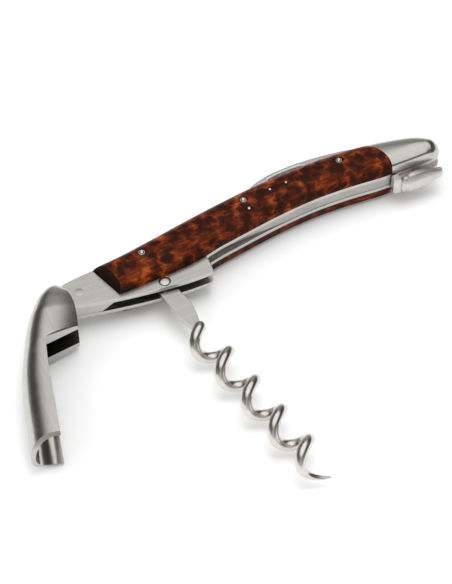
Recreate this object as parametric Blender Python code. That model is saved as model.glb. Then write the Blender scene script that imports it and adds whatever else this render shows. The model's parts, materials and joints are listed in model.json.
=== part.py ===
"""Waiter's corkscrew: a folding lever corkscrew with a foil knife.

The tool is drawn lying on its side.  X runs along the handle from the lever
end to the nose, Y runs across it from the belly to the back, Z is up.  All
hinge axes are vertical.  Numbers are millimetres until scaled by MM.
"""
import math
import bpy
import bmesh

MM = 0.001

# ---------------------------------------------------------------- thickness
HALF = 6.2            # half of the overall thickness
LINER_T = 1.2         # steel side plate
CAVITY = 1.4          # half of the gap between the side plates
LINER_OUT = CAVITY + LINER_T
SEAT = 0.05           # hairline left between touching faces
CORE = CAVITY - SEAT  # half thickness of what is clamped between the plates
SHANK_HALF = 0.85     # worm plate
BLADE_HALF = 0.8      # foil blade

# ------------------------------------------------------------------- joints
HINGE = (1.6, -0.6)         # lever hinge
WORM_PIVOT = (28.7, -6.35)  # worm hinge, in the ears
BLADE_PIVOT = (107.0, 7.2)  # foil blade hinge, under the rear bolsters

# ------------------------------------------------------------------- lever
SLOT_HALF = 2.85      # clevis slot, takes the tongue
TONGUE_R = 3.6        # rounded front of the side plates
SLOT_R = 3.85         # round end of the clevis slot
LEVER_PIN_R = 1.3

# -------------------------------------------------------------------- worm
WORM_DIR = math.radians(-79.25)  # axis of the coil, opened out
WORM_START = (30.06, -24.34)     # point on that axis
PITCH = 10.89
COIL_R = 3.12
WIRE_R = 1.45
COIL_FROM = math.radians(-6.0)
COIL_TO = math.radians(1655.0)
TAPER = math.radians(170.0)
FLARE = math.radians(95.0)        # the point runs out of the coil over this

# ------------------------------------------------------------------ placing
CENTRE = (46.127, -28.745)   # middle of the whole tool, becomes the origin

# --------------------------------------------------------- design stations
BACK_EDGE = [(3.1, 3.3), (7.5, 4.2), (13.5, 4.75), (22.0, 5.7), (32.0, 7.4),
             (42.0, 9.2), (52.0, 10.8), (62.0, 12.1), (72.0, 12.9),
             (82.0, 13.2), (92.0, 12.8), (99.0, 12.0), (104.0, 11.0),
             (108.6, 9.8), (112.0, 8.1), (114.0, 6.2), (114.4, 4.0), (113.6, 2.1),
             (111.8, 0.9)]
BELLY_EDGE = [(111.8, 0.9), (106.0, 0.75), (100.0, 0.75), (94.9, 0.85),
              (89.2, 1.3), (83.3, 1.6), (77.4, 1.65), (71.2, 1.3),
              (65.1, 0.65), (58.8, -0.25), (52.5, -1.3), (46.3, -2.35),
              (41.8, -3.5)]
EAR_EDGE = [(40.6, -8.95), (34.6, -8.9), (29.2, -8.4), (23.8, -7.8),
            (18.5, -7.0), (14.7, -6.35), (11.5, -5.75), (8.1, -5.0),
            (5.0, -4.45)]
SCALE_LOW = [(41.8, -3.5), (36.8, -4.3), (30.8, -4.85), (25.1, -5.15),
             (20.8, -5.35), (16.5, -5.35)]
SCALE_FRONT = [(16.5, -5.35), (13.3, 4.55)]
BOLSTER_ARC = [(92.0, 17.0), (93.6, 13.6), (95.4, 10.8), (97.0, 8.9),
               (98.3, 6.4), (98.9, 3.6), (98.7, 1.2), (97.6, -1.6),
               (95.6, -4.6)]
# height, inset on the belly side, on the back and at the front end
COVER_ROUND = [(2.65, 0.10, 0.15, 0.10), (3.7, 0.20, 0.42, 0.40),
               (5.05, 0.42, 1.45, 0.90), (5.5, 0.9, 1.95, 1.15),
               (5.9, 1.7, 2.55, 1.50), (6.2, 3.0, 3.5, 2.0)]

# lever: outer station, inner station, half width
LEVER_HEAD = [((2.9, 4.3), (3.3, 3.75), 3.2), ((1.3, 4.25), (4.0, 1.8), 4.3),
              ((-1.0, 3.6), (4.4, 0.2), 5.1), ((-3.4, 1.9), (4.6, -1.6), 5.7),
              ((-5.6, -0.5), (4.6, -3.5), 6.0),
              ((-7.6, -3.1), (4.4, -5.2), 6.2),
              ((-9.4, -6.0), (3.9, -7.4), 6.2),
              ((-11.0, -8.9), (3.2, -9.8), 6.2),
              ((-12.25, -11.5), (2.7, -11.2), 6.2)]
LEVER_ARM = [((-12.45, -12.0), (-6.3, -12.2), 6.2),
             ((-14.2, -15.4), (-7.6, -16.2), 6.2),
             ((-15.7, -18.9), (-8.9, -20.6), 6.2),
             ((-17.0, -22.6), (-9.9, -24.6), 6.2),
             ((-18.2, -26.4), (-10.9, -28.6), 6.2),
             ((-19.3, -30.3), (-11.9, -32.6), 6.2),
             ((-20.4, -34.6), (-13.0, -36.8), 6.2),
             ((-22.2, -41.0), (-14.6, -42.9), 6.2)]
LEVER_POWER = 2.5
FOOT_WALL = 1.1       # wall left at the scooped end
SCOOP_HALF = 5.05     # half width of the scoop at the end

# pins: centre, radius
SCALE_PINS = [("front", (26.2, 2.2), 0.85), ("middle", (57.4, 7.0), 0.85),
              ("rear", (86.4, 8.6), 0.85)]
INLAY = [("a", (57.6, 3.9), 0.5), ("b", (65.4, 7.4), 0.45),
         ("c", (70.3, 7.8), 0.45)]
FRONT_RIVET = ((7.6, -0.2), 1.25)
BACK_RIVETS = [(19.5, 3.6), (50.5, 9.0)]
BELLY_RIVET = (66.0, 2.4)
WORM_PIN_R = 1.5
BLADE_PIN_R = 1.25

SIDES = 20


# ------------------------------------------------------------------ scene
for old in list(bpy.data.objects):
    bpy.data.objects.remove(old, do_unlink=True)

tool = bpy.data.collections.new("waiters_corkscrew")
bpy.context.scene.collection.children.link(tool)
shapers = bpy.data.collections.new("cutters")
bpy.context.scene.collection.children.link(shapers)


def material(name, colour, metallic, roughness):
    m = bpy.data.materials.new(name)
    m.use_nodes = True
    m.diffuse_color = (*colour, 1.0)
    p = m.node_tree.nodes["Principled BSDF"]
    p.inputs["Base Color"].default_value = (*colour, 1.0)
    p.inputs["Metallic"].default_value = metallic
    p.inputs["Roughness"].default_value = roughness
    return m


STEEL = material("satin_steel", (0.62, 0.61, 0.58), 1.0, 0.32)
LEVER_STEEL = material("lever_steel", (0.60, 0.59, 0.56), 1.0, 0.28)
WORM_STEEL = material("polished_steel", (0.70, 0.68, 0.65), 1.0, 0.14)
PIN_STEEL = material("pin_steel", (0.74, 0.72, 0.68), 1.0, 0.18)
BLADE_STEEL = material("blade_steel", (0.68, 0.68, 0.67), 1.0, 0.2)
WOOD = material("snakewood", (0.26, 0.05, 0.018), 0.0, 0.35)


# ------------------------------------------------------------- 2D helpers
def smooth(points, per=4):
    """Catmull-Rom curve through the stations."""
    out = []
    n = len(points)
    for i in range(n - 1):
        a = points[max(i - 1, 0)]
        b = points[i]
        c = points[i + 1]
        d = points[min(i + 2, n - 1)]
        for k in range(per):
            t = k / per
            out.append(tuple(
                0.5 * (2 * b[j] + (c[j] - a[j]) * t
                       + (2 * a[j] - 5 * b[j] + 4 * c[j] - d[j]) * t * t
                       + (3 * b[j] - a[j] - 3 * c[j] + d[j]) * t ** 3)
                for j in range(len(b))))
    out.append(tuple(points[-1]))
    return out


def arc(centre, r, a0, a1, n):
    """Points on a circle, angles in degrees."""
    return [(centre[0] + r * math.cos(math.radians(a0 + (a1 - a0) * i / n)),
             centre[1] + r * math.sin(math.radians(a0 + (a1 - a0) * i / n)))
            for i in range(n + 1)]


def tidy(outline, gap=0.02):
    """Drop points that repeat."""
    out = []
    for p in outline:
        if not out or math.dist(p, out[-1]) > gap:
            out.append(p)
    if math.dist(out[0], out[-1]) <= gap:
        out.pop()
    return out


def area(outline):
    return 0.5 * sum(p[0] * q[1] - q[0] * p[1]
                     for p, q in zip(outline, outline[1:] + outline[:1]))


def anticlockwise(outline):
    return outline if area(outline) > 0 else outline[::-1]


def inset(outline, d, e=None, g=None):
    """Move an anticlockwise outline inward along its mitres, by d where it
    faces the belly, by e where it faces the back and by g at the front."""
    e = d if e is None else e
    g = d if g is None else g
    out = []
    n = len(outline)
    for i in range(n):
        p0, p1, p2 = outline[i - 1], outline[i], outline[(i + 1) % n]
        n1 = (-(p1[1] - p0[1]), p1[0] - p0[0])
        n2 = (-(p2[1] - p1[1]), p2[0] - p1[0])
        l1, l2 = math.hypot(*n1), math.hypot(*n2)
        m = (n1[0] / l1 + n2[0] / l2, n1[1] / l1 + n2[1] / l2)
        lm = math.hypot(*m)
        m = (m[0] / lm, m[1] / lm)
        c = max(m[0] * n1[0] / l1 + m[1] * n1[1] / l1, 0.6)
        w = min(max(0.5 - 0.8 * m[1], 0.0), 1.0)
        f = min(max((m[0] - 0.5) / 0.3, 0.0), 1.0)
        s = ((d + (e - d) * w) * (1 - f) + g * f) / c
        out.append((p1[0] + m[0] * s, p1[1] + m[1] * s))
    return out


def below(curve, x):
    """Height of a left-to-right curve at x."""
    pts = sorted(curve)
    for p, q in zip(pts, pts[1:]):
        if p[0] <= x <= q[0]:
            f = (x - p[0]) / max(q[0] - p[0], 1e-9)
            return p[1] + f * (q[1] - p[1])
    return pts[0][1] if x < pts[0][0] else pts[-1][1]


# ------------------------------------------------------------- 3D helpers
def place(name, bm, mat, pivot=(0.0, 0.0), lift=0.0, where=None,
          shade=True, angle=32.0):
    """Turn a bmesh in millimetres into an object standing on its pivot."""
    if bm.calc_volume(signed=True) < 0:
        bmesh.ops.reverse_faces(bm, faces=bm.faces)
    mesh = bpy.data.meshes.new(name)
    for v in bm.verts:
        v.co.x = (v.co.x - pivot[0]) * MM
        v.co.y = (v.co.y - pivot[1]) * MM
        v.co.z = (v.co.z - lift) * MM
    bm.to_mesh(mesh)
    bm.free()
    ob = bpy.data.objects.new(name, mesh)
    (where or tool).objects.link(ob)
    ob.location = ((pivot[0] - CENTRE[0]) * MM, (pivot[1] - CENTRE[1]) * MM,
                   (HALF + lift) * MM)
    if where is shapers:
        ob.hide_render = True
        ob.display_type = "WIRE"
    else:
        mesh.materials.append(mat)
        if shade:
            mesh.shade_smooth()
            mesh.set_sharp_from_angle(angle=math.radians(angle))
    return ob


def layers(bm, rings):
    """Skin a stack of matching rings [(outline, z)] and close both ends."""
    rows = []
    for outline, z in rings:
        row = []
        for i, p in enumerate(outline):
            zz = z[i] if isinstance(z, (list, tuple)) else z
            row.append(bm.verts.new((p[0], p[1], zz)))
        rows.append(row)
    for a, b in zip(rows, rows[1:]):
        n = len(a)
        for i in range(n):
            j = (i + 1) % n
            bm.faces.new((a[i], a[j], b[j], b[i]))
    bm.faces.new(rows[0][::-1])
    bm.faces.new(rows[-1])
    return bm


def prism(name, outline, z0, z1, mat, pivot=(0.0, 0.0), where=None):
    bm = bmesh.new()
    o = anticlockwise(tidy(outline))
    layers(bm, [(o, z0), (o, z1)])
    return place(name, bm, mat, pivot, where=where)


def loft(name, sections, mat, pivot=(0.0, 0.0), where=None, angle=32.0):
    """Skin matching closed sections of 3D points."""
    bm = bmesh.new()
    rows = [[bm.verts.new(p) for p in s] for s in sections]
    for a, b in zip(rows, rows[1:]):
        n = len(a)
        for i in range(n):
            j = (i + 1) % n
            bm.faces.new((a[i], a[j], b[j], b[i]))
    bm.faces.new(rows[0][::-1])
    bm.faces.new(rows[-1])
    return place(name, bm, mat, pivot, where=where, angle=angle)


def turned(bm, centre, profile, sides=SIDES):
    """A round piece on a vertical axis: profile is [(radius, z)]."""
    rings = [([(centre[0] + r * math.cos(2 * math.pi * i / sides),
                centre[1] + r * math.sin(2 * math.pi * i / sides))
               for i in range(sides)], z) for r, z in profile]
    return layers(bm, rings)


def rod(name, centre, profile, mat, sides=SIDES):
    bm = bmesh.new()
    turned(bm, centre, profile, sides)
    return place(name, bm, mat, pivot=centre)


def drills(name, holes, sides=SIDES):
    """Several straight drills in one cutter: [(centre, radius, z0, z1)]."""
    bm = bmesh.new()
    for c, r, z0, z1 in holes:
        turned(bm, c, [(r, z0), (r, z1)], sides)
    return place(name, bm, None, where=shapers)


def shape(ob, cutter, how="DIFFERENCE"):
    m = ob.modifiers.new(how.lower() + "_" + cutter.name, "BOOLEAN")
    m.operation = how
    m.solver = "EXACT"
    m.object = cutter
    return ob


# =============================================================== outlines
back = smooth(BACK_EDGE, 2)
belly = smooth(BELLY_EDGE, 2)
ear = smooth(EAR_EDGE, 2)
tongue = arc(HINGE, TONGUE_R, 286.0, 84.0, 14)

# belly corner behind the ears
ear_step = [(41.8, -3.5), (41.85, -5.4), (41.6, -7.9), (41.2, -8.7),
            (40.6, -8.95)]
liner_outline = anticlockwise(tidy(back + belly + ear_step + ear + tongue))

back_cover = [p for p in back if p[0] > 13.6]
cover_outline = anticlockwise(tidy(
    back_cover + belly + SCALE_LOW + SCALE_FRONT))

# ============================================================ side plates
for side, sign in (("upper", 1), ("lower", -1)):
    holes = [(FRONT_RIVET[0], FRONT_RIVET[1] + SEAT, -9, 9),
             (WORM_PIVOT, WORM_PIN_R + 0.06, -9, 9),
             (BLADE_PIVOT, BLADE_PIN_R + 0.06, -9, 9),
             (HINGE, LEVER_PIN_R + 0.06, -9, 9),
             (BELLY_RIVET, 0.9 + SEAT, -9, 9)]
    holes += [(c, 0.9 + SEAT, -9, 9) for c in BACK_RIVETS]
    holes += [(c, r + SEAT, -9, 9) for _, c, r in SCALE_PINS]
    plate = prism(side + "_liner", liner_outline, sign * CAVITY,
                  sign * LINER_OUT, STEEL)
    shape(plate, drills(side + "_liner_drill", holes))

    # cover: wood scale and steel bolster shaped together, then parted
    rings = []
    for z, d, e, g in COVER_ROUND:
        rings.append((inset(cover_outline, d, e, g), sign * z))

    def cover(name, mat):
        bm = bmesh.new()
        layers(bm, rings)
        return place(name, bm, mat)

    joint_line = smooth(BOLSTER_ARC, 2)
    scale = cover(side + "_scale", WOOD)
    wood_side = [(p[0] - 0.05, p[1]) for p in joint_line]
    shape(scale, prism(side + "_scale_part", wood_side + [(5, -20), (5, 30)],
                       -9, 9, None, where=shapers), "INTERSECT")
    holes = [(c, r + SEAT, -9, 9) for _, c, r in SCALE_PINS]
    holes += [(c, r + SEAT, min(sign * 4.6, sign * 9), max(sign * 4.6,
               sign * 9)) for _, c, r in INLAY]
    shape(scale, drills(side + "_scale_drill", holes))

    bolster = cover(side + "_bolster", STEEL)
    steel_side = [(p[0] + 0.05, p[1]) for p in joint_line]
    shape(bolster, prism(side + "_bolster_part",
                         steel_side + [(130, -20), (130, 30)],
                         -9, 9, None, where=shapers), "INTERSECT")
    shape(bolster, drills(side + "_bolster_drill",
                          [(BLADE_PIVOT, BLADE_PIN_R + 0.06,
                            min(0, sign * 4.0), max(0, sign * 4.0))]))

    # pins that hold each scale to its plate
    for tag, c, r in SCALE_PINS:
        prof = [(r, sign * (CAVITY + 0.05)), (r, sign * 6.02),
                (r * 0.72, sign * 6.2)]
        rod("%s_scale_pin_%s" % (side, tag), c, prof, PIN_STEEL, 16)
    for tag, c, r in INLAY:
        prof = [(r, sign * 4.65), (r, sign * 6.12), (r * 0.6, sign * 6.2)]
        rod("%s_inlay_pin_%s" % (side, tag), c, prof, PIN_STEEL, 12)

# ================================================== between the side plates
# solid tongue block, its rear end slanted
spacer_back = [p for p in back if p[0] < 15.0]
spacer_low = [p for p in ear if p[0] < 11.6]
rear_low = [(spacer_back[-1][0], -1.5), (12.6, -3.4)]
spacer_outline = anticlockwise(tidy(
    spacer_back + rear_low + spacer_low + tongue))
bm = bmesh.new()
tilt = []
for p in spacer_outline:
    lean = 3.1 if (9.5 < p[0] < 14.0 and p[1] < -2.0) else 0.0
    tilt.append((p[0] + lean, p[1] - 0.2 * lean))
layers(bm, [(spacer_outline, -CORE), (tilt, CORE)])
spacer = place("front_spacer", bm, STEEL)
shape(spacer, drills("front_spacer_drill",
                     [(FRONT_RIVET[0], FRONT_RIVET[1] + SEAT, -9, 9),
                      (HINGE, LEVER_PIN_R + 0.06, -9, 9)]))

# back spring fills the back between the block and the blade tip
x0, x1 = spacer_back[-1][0] + 0.25, 58.6
top = [p for p in back if x0 < p[0] < x1]
top = [(x0, below(back[:20], x0))] + top + [(x1, below(back[:20], x1))]
low = [(p[0], p[1] - 3.3) for p in top[::-1]]
back_spring = prism("back_spring", top + low, -CORE, CORE, STEEL)
shape(back_spring, drills("back_spring_drill",
                          [(c, 0.9 + SEAT, -9, 9) for c in BACK_RIVETS]))

# belly spring, sunk behind the ears and flush further on
under = sorted(belly)
bottom = []
topside = []
for i in range(23):
    x = 42.4 + (105.2 - 42.4) * i / 22
    sunk = 2.6 * max(0.0, 1.0 - (x - 42.4) / 27.0) ** 1.6
    base = below(under, x) + 0.05 + sunk
    bottom.append((x, base))
    topside.append((x, max(base + 1.5, min(below(under, x) + 2.9, 4.1)) if x < 92
                    else below(under, x) + 2.9 - (x - 92) / 13.2 * 0.9))
belly_spring = prism("belly_spring", bottom + topside[::-1], -CORE, CORE,
                     STEEL)
shape(belly_spring, drills("belly_spring_drill",
                           [(BELLY_RIVET, 0.9 + SEAT, -9, 9)]))


def teardrop(name, where):
    """Plain thumb piece on the end of the belly spring."""
    rows = smooth([(0.0, 0.9, 1.9), (0.1, 1.55, 2.9), (0.3, 1.9, 3.5),
                   (0.5, 1.85, 3.3), (0.7, 1.55, 2.6), (0.88, 1.15, 1.9),
                   (0.97, 1.0, 1.7), (1.0, 0.7, 1.3)], 2)
    sections = []
    for t, ry, rz in rows:
        ring = []
        for k in range(16):
            a = 2 * math.pi * k / 16
            ring.append((99.9 + 12.4 * t, -1.75 - 0.25 * t + ry * math.cos(a),
                         rz * math.sin(a)))
        sections.append(ring)
    return loft(name, sections, None, where=where)


shape(belly_spring, prism("spring_neck", [(99.2, 1.6), (99.2, -1.6),
                                          (105.0, -1.6), (105.0, 1.6)],
                          -1.25, 1.25, None, where=shapers), "UNION")
shape(belly_spring, prism("spring_collar", [(98.2, 0.42), (98.0, -1.4),
                                            (98.6, -2.0), (100.0, -2.2),
                                            (100.3, 0.42)],
                          -2.7, 2.7, None, where=shapers), "UNION")
shape(belly_spring, teardrop("spring_head", shapers), "UNION")

# rivets through both plates
rod("front_rivet", FRONT_RIVET[0],
    [(1.0, -2.72), (FRONT_RIVET[1], -2.6), (FRONT_RIVET[1], 2.6),
     (1.0, 2.72)], PIN_STEEL)
for i, c in enumerate(BACK_RIVETS):
    rod("back_spring_rivet_%d" % (i + 1), c, [(0.9, -2.58), (0.9, 2.58)],
        PIN_STEEL, 16)
rod("belly_spring_rivet", BELLY_RIVET, [(0.9, -2.58), (0.9, 2.58)],
    PIN_STEEL, 16)


# ================================================================== lever
def section(o, i, h, knee=0.08, edge=1.0, n=14):
    """Half-round section, crowned outside the knee.  Inside the knee it
    keeps its height on the arm, and falls off to the edge on the head."""
    pts = []
    for k in range(n + 1):
        a = math.radians(-90 + 180 * k / n)
        c, s = max(math.cos(a), 0.0), math.sin(a)
        d = c ** (2 / LEVER_POWER)
        z = h * math.copysign(abs(s) ** (2 / LEVER_POWER), s)
        if k in (0, n):
            d, z = 0.0, math.copysign(h, s)
        pts.append((knee + (1 - knee) * d, z))
    cheek = [(knee * (1 - f), h * (1 - (1 - edge) * f * f))
             for f in (1 / 3, 2 / 3, 1.0)]
    pts = [(d, -z) for d, z in cheek[::-1]] + pts + cheek
    return [(i[0] + (o[0] - i[0]) * d, i[1] + (o[1] - i[1]) * d, z)
            for d, z in pts]


def stations(rows, per):
    flat = [(o[0], o[1], i[0], i[1], h) for o, i, h in rows]
    return [((s[0], s[1]), (s[2], s[3]), min(s[4], HALF))
            for s in smooth(flat, per)]


head = stations(LEVER_HEAD, 2)
arm = stations(LEVER_ARM, 2)
crown = [section(*s, knee=0.5 + 0.1 * k / (len(head) - 1),
                 edge=1.0 - 0.36 * k / (len(head) - 1))
         for k, s in enumerate(head)]
lever = loft("lever", crown + [section(*s) for s in arm], LEVER_STEEL,
             pivot=HINGE, angle=38.0)

slot = [(12.0, 5.4), (6.0, 4.35), (3.2, 3.62)]
slot += arc(HINGE, SLOT_R, 88.0, 190.0, 12)
slot += smooth([(-3.4, -3.2), (-6.3, -6.6), (-8.6, -10.8), (-10.5, -15.0),
                (-12.2, -19.4), (-13.6, -23.8), (-14.3, -28.4),
                (-13.2, -33.0), (-9.0, -37.0)], 3)
slot += [(12.0, -37.0)]
shape(lever, prism("lever_slot", slot, -SLOT_HALF, SLOT_HALF, None,
                   where=shapers))

scoop = []
first = tuple(tuple(0.63 * a + 0.37 * b for a, b in zip(p, q))
              for p, q in zip(arm[3][:2], arm[4][:2])) + (HALF,)
for k, (o, i, h) in enumerate([first] + arm[5:] + [((-23.4, -45.4), (-15.8, -47.3),
                                          6.2)]):
    t = min(1.0, k / (len(arm) - 6))
    ease = t * t * (3 - 2 * t)
    ux, uy = o[0] - i[0], o[1] - i[1]
    d = math.hypot(ux, uy)
    ux, uy = ux / d, uy / d
    w = 3.4 + (SCOOP_HALF - 3.4) * ease
    floor = 3.9 + (d - FOOT_WALL - 3.9) * ease
    ring = [(-4.0, -w)]
    for q in range(13):
        a = math.radians(-90 + 180 * q / 12)
        r = min(w, floor + 1.0)
        ring.append((floor - r + r * math.cos(a), w * math.sin(a)))
    ring.append((-4.0, w))
    scoop.append([(i[0] + ux * dd, i[1] + uy * dd, z) for dd, z in ring])
shape(lever, loft("lever_scoop", scoop, None, where=shapers))
o, i, h = arm[-1]
d = math.dist(o, i)
ux, uy = (o[0] - i[0]) / d, (o[1] - i[1]) / d
ends = []
for across in (-6.0, d + 6.0):
    ring = []
    for k in range(13):
        z = -8.0 + 16.0 * k / 12
        reach = -0.2 - 1.8 * (abs(z) / HALF) ** 2 - 1.1 * max(0.0, z / HALF)
        ring.append((reach, z))
    ring += [(9.0, 8.0), (9.0, -8.0)]
    ends.append([(i[0] + ux * across - uy * r, i[1] + uy * across + ux * r, z)
                 for r, z in ring])
shape(lever, loft("lever_end", ends, None, where=shapers))
shape(lever, drills("lever_drill", [(HINGE, LEVER_PIN_R + 0.06, -9, 4.9)]))
rod("lever_pin", HINGE, [(1.2, -5.62), (LEVER_PIN_R, -5.5),
                         (LEVER_PIN_R, 4.8)], PIN_STEEL)

# ================================================================== worm
eye = arc(WORM_PIVOT, 2.35, 188.0, -8.0, 14)
shank = eye + smooth([(31.1, -7.6), (31.75, -10.6), (32.5, -13.9),
                      (32.35, -17.8), (31.75, -21.15)], 3)
shank += [(29.45, -21.25), (28.15, -17.8), (27.2, -12.8), (26.5, -8.8)]
worm_shank = prism("worm_shank", shank, -SHANK_HALF, SHANK_HALF, STEEL,
                   pivot=WORM_PIVOT)
shape(worm_shank, drills("worm_shank_drill",
                         [(WORM_PIVOT, WORM_PIN_R + 0.06, -9, 9)]))
rod("worm_pin", WORM_PIVOT, [(1.0, -2.76), (WORM_PIN_R, -2.62),
                             (WORM_PIN_R, 2.62), (1.0, 2.76)], PIN_STEEL)

ax = (math.cos(WORM_DIR), math.sin(WORM_DIR))
rad = (math.sin(WORM_DIR), -math.cos(WORM_DIR))


def coil(t):
    late = max(0.0, 1.0 - (COIL_TO - t) / FLARE) ** 2
    along = PITCH * t / (2 * math.pi) + 0.9 * late
    r = COIL_R + 1.2 * late
    s, c = math.sin(t), math.cos(t)
    return (WORM_START[0] + ax[0] * along + rad[0] * r * s,
            WORM_START[1] + ax[1] * along + rad[1] * r * s,
            r * c)


route = []
start = (31.1, -22.15, 0.0)
lead = (1.1, -3.9, 1.3)
p1 = coil(COIL_FROM)
q1 = coil(COIL_FROM + 0.01)
v1 = tuple((b - a) / 0.01 * 0.8 for a, b in zip(p1, q1))
for k in range(6):
    t = k / 6
    h = (2 * t ** 3 - 3 * t ** 2 + 1, t ** 3 - 2 * t ** 2 + t,
         -2 * t ** 3 + 3 * t ** 2, t ** 3 - t ** 2)
    route.append(tuple(h[0] * start[j] + h[1] * lead[j] + h[2] * p1[j]
                       + h[3] * v1[j] for j in range(3)))
turns = COIL_TO - COIL_FROM
count = int(turns / math.radians(18.0))
radii = [WIRE_R] * len(route)
for k in range(count + 1):
    t = COIL_FROM + turns * k / count
    route.append(coil(t))
    left = (COIL_TO - t) / TAPER
    radii.append(WIRE_R * (0.12 + 0.88 * min(1.0, max(left, 0.0)) ** 0.6))

# keep the root of the wire just clear of the plate
curve = bpy.data.curves.new("worm_wire", "CURVE")
curve.dimensions = "3D"
curve.bevel_depth = MM
curve.bevel_resolution = 2
curve.use_fill_caps = True
spline = curve.splines.new("POLY")
spline.points.add(len(route) - 1)
for sp, p, r in zip(spline.points, route, radii):
    sp.co = ((p[0] - WORM_PIVOT[0]) * MM, (p[1] - WORM_PIVOT[1]) * MM,
             p[2] * MM, 1.0)
    sp.radius = r
curve.materials.append(WORM_STEEL)
worm = bpy.data.objects.new("worm_screw", curve)
tool.objects.link(worm)
worm.location = ((WORM_PIVOT[0] - CENTRE[0]) * MM,
                 (WORM_PIVOT[1] - CENTRE[1]) * MM, HALF * MM)

# ============================================================= foil blade
spine = smooth([(60.0, 12.35), (61.6, 13.5), (64.8, 15.0), (68.6, 16.0),
                (73.5, 16.5), (79.2, 16.6), (85.0, 16.2), (90.8, 15.4),
                (96.2, 14.3), (100.0, 13.2), (103.4, 11.9), (106.0, 10.95),
                (108.4, 10.6), (110.0, 9.4), (110.75, 7.4)], 4)
edge = smooth([(60.0, 12.35), (61.4, 10.7), (64.5, 9.4), (69.0, 8.7),
               (76.0, 8.2), (84.0, 7.9), (92.0, 7.7), (96.4, 7.5),
               (97.6, 6.0), (100.0, 4.9), (103.5, 3.9), (107.0, 3.5),
               (109.6, 4.6), (110.75, 7.2)], 4)
sections = []
COUNT = 50
for k in range(COUNT + 1):
    f = k / COUNT
    x = 60.12 + (110.6 - 60.12) * f
    yt, yb = below(spine, x), below(edge, x)
    bite = 0.0
    grind = min(3.2, 0.45 * (yt - yb))
    thin = 0.12
    if x > 95.2:
        thin, grind = BLADE_HALF * 0.98, 0.4 * (yt - yb)
    elif 66.0 < x < 94.0:
        bite = 0.28 * (k % 2)
    mid = yb + grind
    sections.append([(x, yt, -BLADE_HALF), (x, yt, BLADE_HALF),
                     (x, mid, BLADE_HALF), (x, yb + bite, thin),
                     (x, yb + bite, -thin), (x, mid, -BLADE_HALF)])
blade = loft("foil_blade", sections, BLADE_STEEL, pivot=BLADE_PIVOT,
             angle=20.0)
shape(blade, drills("foil_blade_drill",
                    [(BLADE_PIVOT, BLADE_PIN_R + 0.06, -9, 9)]))
nick = prism("foil_blade_nick", smooth([(68.0, 14.2), (71.0, 14.95),
                                        (75.0, 15.3), (79.0, 15.2)], 4)
             + [(79.0, 14.75), (73.5, 14.5)], 0.45, 3.0, None, where=shapers)
shape(blade, nick)
rod("blade_pin", BLADE_PIVOT, [(BLADE_PIN_R, -3.8), (BLADE_PIN_R, 3.8)],
    PIN_STEEL)
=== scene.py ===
import json
import math

import bmesh
import bpy
import numpy as np
from mathutils import Matrix, Vector


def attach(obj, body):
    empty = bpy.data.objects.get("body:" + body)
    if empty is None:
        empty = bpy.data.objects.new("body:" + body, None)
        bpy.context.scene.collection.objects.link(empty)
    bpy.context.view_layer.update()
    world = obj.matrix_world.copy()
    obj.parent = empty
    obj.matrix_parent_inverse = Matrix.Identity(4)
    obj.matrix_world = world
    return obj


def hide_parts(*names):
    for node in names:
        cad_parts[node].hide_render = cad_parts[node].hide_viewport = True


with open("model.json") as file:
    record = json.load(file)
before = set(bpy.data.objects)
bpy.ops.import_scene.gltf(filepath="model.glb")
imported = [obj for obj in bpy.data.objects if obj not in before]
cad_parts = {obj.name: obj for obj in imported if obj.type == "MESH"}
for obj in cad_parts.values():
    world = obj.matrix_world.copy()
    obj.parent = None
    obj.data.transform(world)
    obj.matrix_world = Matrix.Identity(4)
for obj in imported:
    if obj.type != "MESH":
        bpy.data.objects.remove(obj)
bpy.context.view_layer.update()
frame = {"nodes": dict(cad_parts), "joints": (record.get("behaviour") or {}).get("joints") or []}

# Everything below is drawn in the handle's own millimetres: x along the
# handle, y from the belly to the back, z from the middle of the thickness.
# ORIGIN takes that to the frame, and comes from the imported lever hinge.
JOINTS = {j["name"]: j for j in frame["joints"]}
HINGE = (1.6, -0.6)
HINGE_AT = [c * 1000 for c in JOINTS["lever_close"]["pos_m"]]
ORIGIN = (HINGE[0] - HINGE_AT[0], HINGE[1] - HINGE_AT[1], -HINGE_AT[2])


def local(joint):
    p = JOINTS[joint]["pos_m"]
    return (p[0] * 1000 + ORIGIN[0], p[1] * 1000 + ORIGIN[1])


WORM_PIVOT = local("worm_fold")
BLADE_PIVOT = local("blade_open")

HALF = 6.2
CAVITY = 1.4
LINER_OUT = 2.6
CORE = 1.35
SHANK_HALF = 0.85
BLADE_HALF = 0.8
SLOT_HALF = 2.85
TONGUE_R = 3.6
SLOT_R = 3.85

BACK_EDGE = [(3.1, 3.3), (7.5, 4.2), (13.5, 4.75), (22.0, 5.7), (32.0, 7.4),
             (42.0, 9.2), (52.0, 10.8), (62.0, 12.1), (72.0, 12.9),
             (82.0, 13.2), (92.0, 12.8), (99.0, 12.0), (104.0, 11.0),
             (108.6, 9.8), (112.0, 8.1), (114.0, 6.2), (114.4, 4.0),
             (113.6, 2.1), (111.8, 0.9)]
BELLY_EDGE = [(111.8, 0.9), (106.0, 0.75), (100.0, 0.75), (94.9, 0.85),
              (89.2, 1.3), (83.3, 1.6), (77.4, 1.65), (71.2, 1.3),
              (65.1, 0.65), (58.8, -0.25), (52.5, -1.3), (46.3, -2.35),
              (41.8, -3.5)]
EAR_EDGE = [(40.6, -8.95), (34.6, -8.9), (29.2, -8.4), (23.8, -7.8),
            (18.5, -7.0), (14.7, -6.35), (11.5, -5.75), (8.1, -5.0),
            (5.0, -4.45)]
SCALE_LOW = [(41.8, -3.5), (36.8, -4.3), (30.8, -4.85), (25.1, -5.15),
             (20.8, -5.35), (16.5, -5.35)]
BOLSTER_ARC = [(92.0, 17.0), (93.6, 13.6), (95.4, 10.8), (97.0, 8.9),
               (98.3, 6.4), (98.9, 3.6), (98.7, 1.2), (97.6, -1.6),
               (95.6, -4.6)]

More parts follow.
